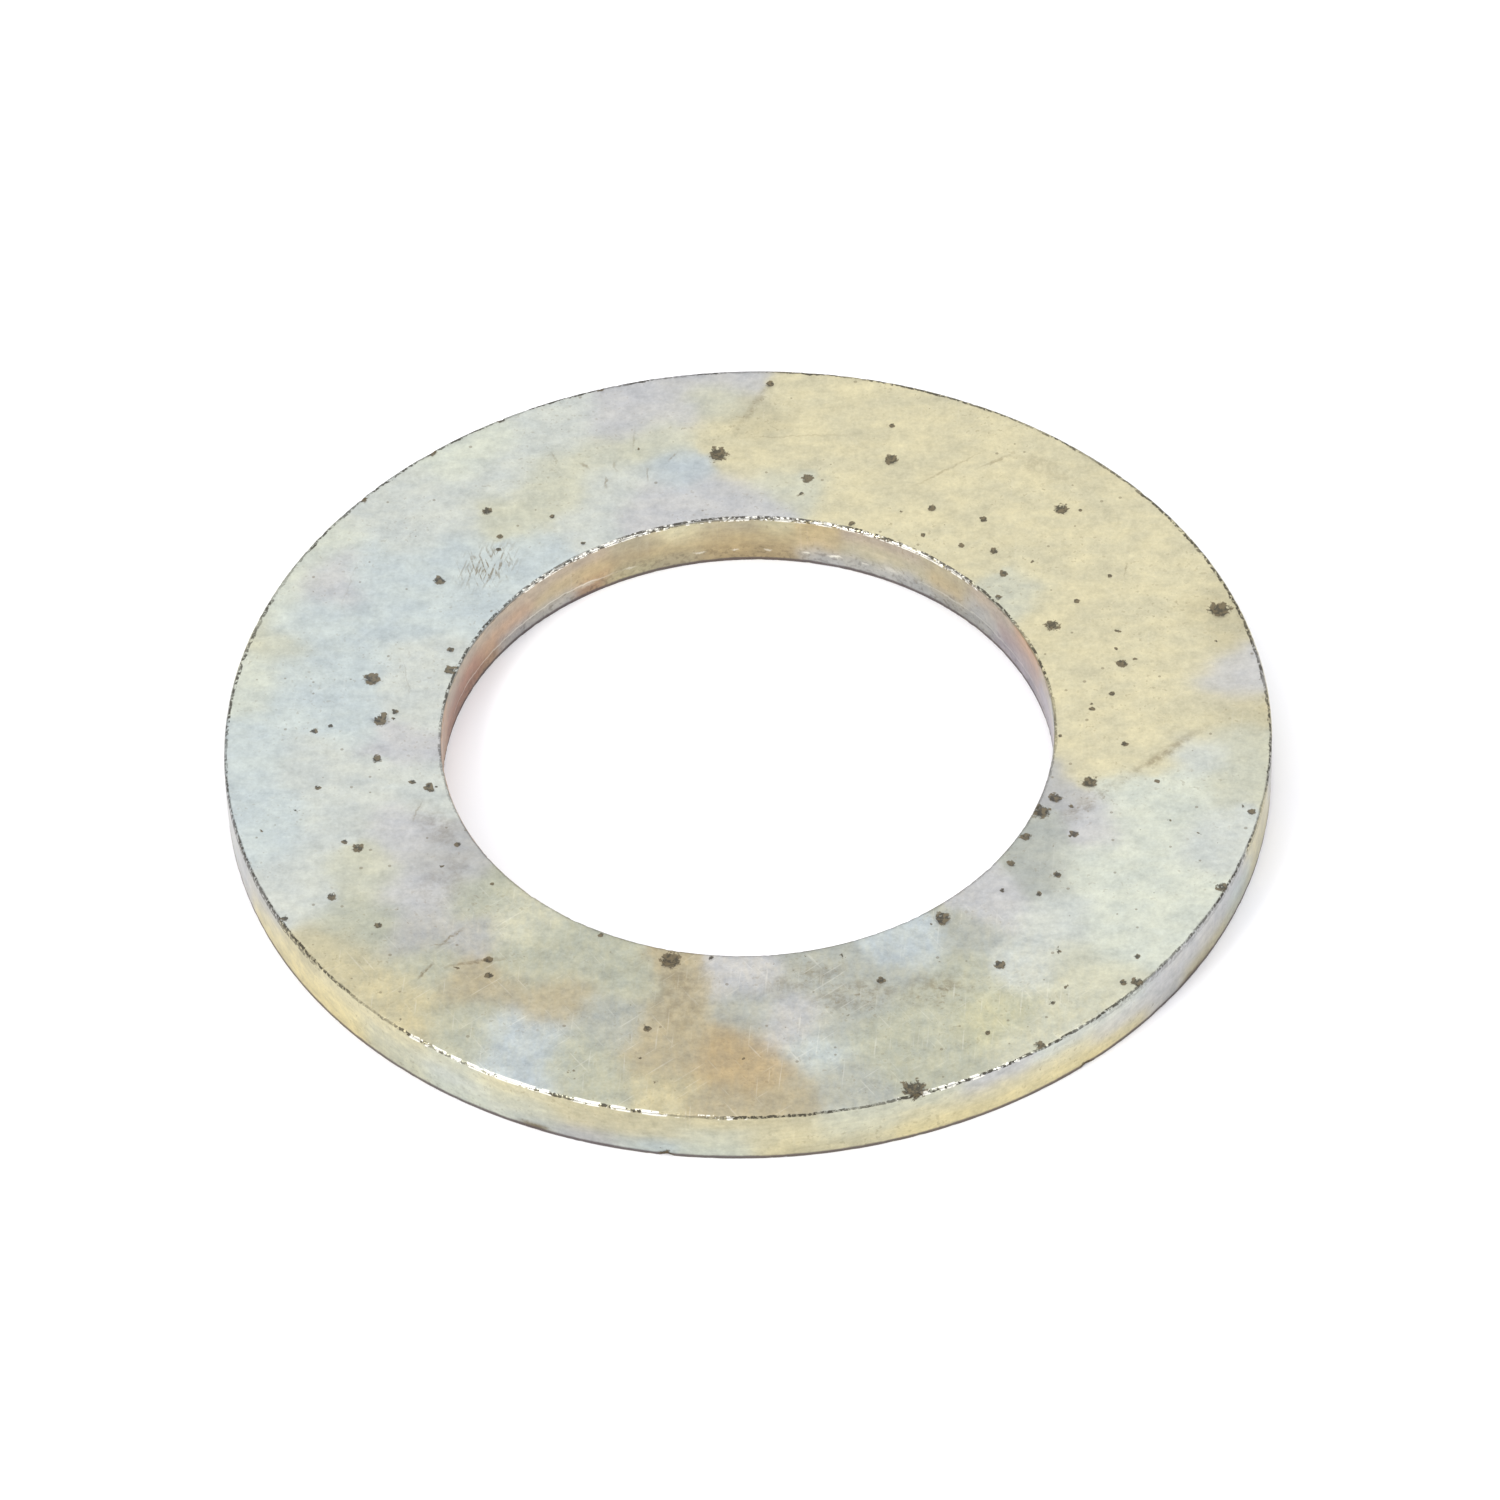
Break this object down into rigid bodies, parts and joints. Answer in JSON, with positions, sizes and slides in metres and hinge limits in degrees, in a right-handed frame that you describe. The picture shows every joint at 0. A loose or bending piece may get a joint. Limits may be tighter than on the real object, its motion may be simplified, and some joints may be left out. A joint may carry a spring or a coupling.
{
  "type": "flat washer",
  "caption": "Round flat steel washer, punched from sheet, that spreads the load of a bolt head or nut over the surface around its hole.",
  "frame": {"origin": "centre of the bore in the plane of the bottom face, the side that the burr is on", "axes": "+Z along the bore axis, from the bottom face to the top face, which has the rolled edges"},
  "size_m": [0.0334, 0.0334, 0.0019],
  "materials": {
    "yellow_zinc": "zinc plate with a thin yellow chromate film over punched steel, satin, iridescent from pale blue-green to straw yellow, with small dark pits"
  },
  "bodies": {
    "root": {"flat_washer": "yellow_zinc"}
  },
  "joints": []
}
